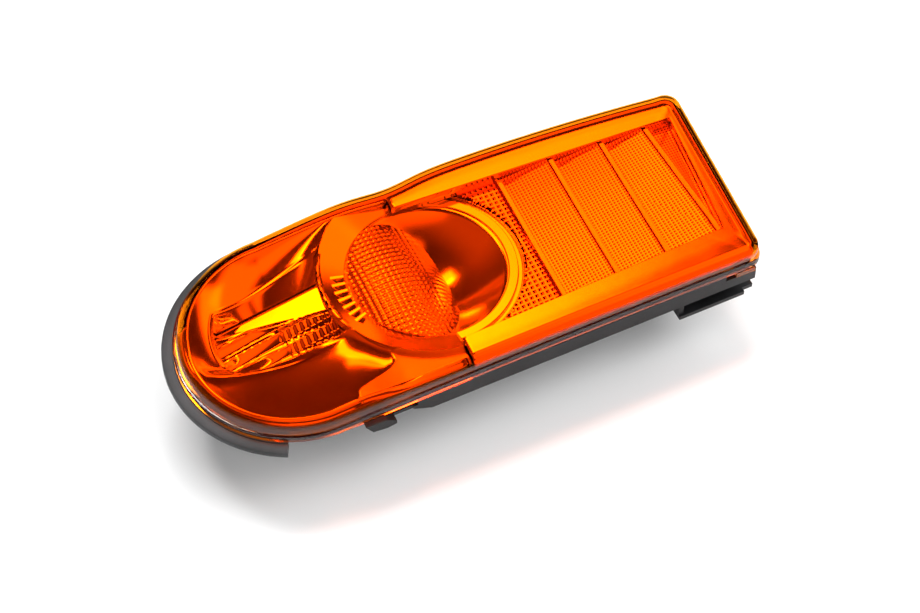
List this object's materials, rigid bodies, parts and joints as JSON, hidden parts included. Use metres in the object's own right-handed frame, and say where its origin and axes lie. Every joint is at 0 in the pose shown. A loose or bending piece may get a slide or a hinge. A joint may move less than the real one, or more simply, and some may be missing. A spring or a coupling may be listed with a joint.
{
  "type": "vehicle indicator lamp",
  "caption": "Long amber indicator lamp with a round end and a square end, a marker pocket, a round turn reflector and a reflex panel, on a black housing and rail.",
  "frame": {"origin": "centre of the rear screw pattern, on the plane of the four rear bosses' faces", "axes": "+X along the lamp from the round end to the square end, +Y towards the far side, away from the mounting rail, +Z out of the lens"},
  "size_m": [0.2454, 0.1033, 0.05],
  "materials": {
    "outer_lens": "clear amber acrylic, polished inside and out",
    "rear_housing": "black ABS moulding, fine matt texture",
    "lens_bead": "black butyl sealant",
    "edge_seal": "dark grey rubber, matt",
    "reflector": "vacuum-metallised plastic, bright",
    "bezel_frame": "vacuum-metallised plastic, bright",
    "reflex_insert": "amber acrylic with fine prisms",
    "inner_lens": "clear acrylic with small pillow optics",
    "marker_optic": "clear acrylic with long flutes",
    "turn_bulb": "amber-coated glass, clear",
    "turn_socket": "black glass-filled nylon",
    "turn_gasket": "red-brown silicone",
    "turn_contacts": "bright brass",
    "marker_bulb": "amber-coated glass, clear",
    "marker_socket": "black glass-filled nylon",
    "marker_gasket": "red-brown silicone",
    "marker_contacts": "bright brass",
    "vent_cap": "black elastomer",
    "mounting_rail": "black nylon moulding, satin",
    "rail_screws": "zinc-plated steel",
    "reflector_screws": "zinc-plated steel",
    "boss_inserts": "knurled brass, plain in the model"
  },
  "bodies": {
    "root": {"outer_lens": "outer_lens", "rear_housing": "rear_housing", "lens_bead": "lens_bead", "edge_seal": "edge_seal", "reflector": "reflector", "bezel_frame": "bezel_frame", "reflex_insert": "reflex_insert", "inner_lens": "inner_lens", "marker_optic": "marker_optic", "turn_bulb": "turn_bulb", "turn_socket": "turn_socket", "turn_gasket": "turn_gasket", "turn_contacts": "turn_contacts", "marker_bulb": "marker_bulb", "marker_socket": "marker_socket", "marker_gasket": "marker_gasket", "marker_contacts": "marker_contacts", "vent_cap": "vent_cap", "mounting_rail": "mounting_rail", "rail_screws": "rail_screws", "reflector_screws": "reflector_screws", "boss_inserts": "boss_inserts"}
  },
  "joints": []
}
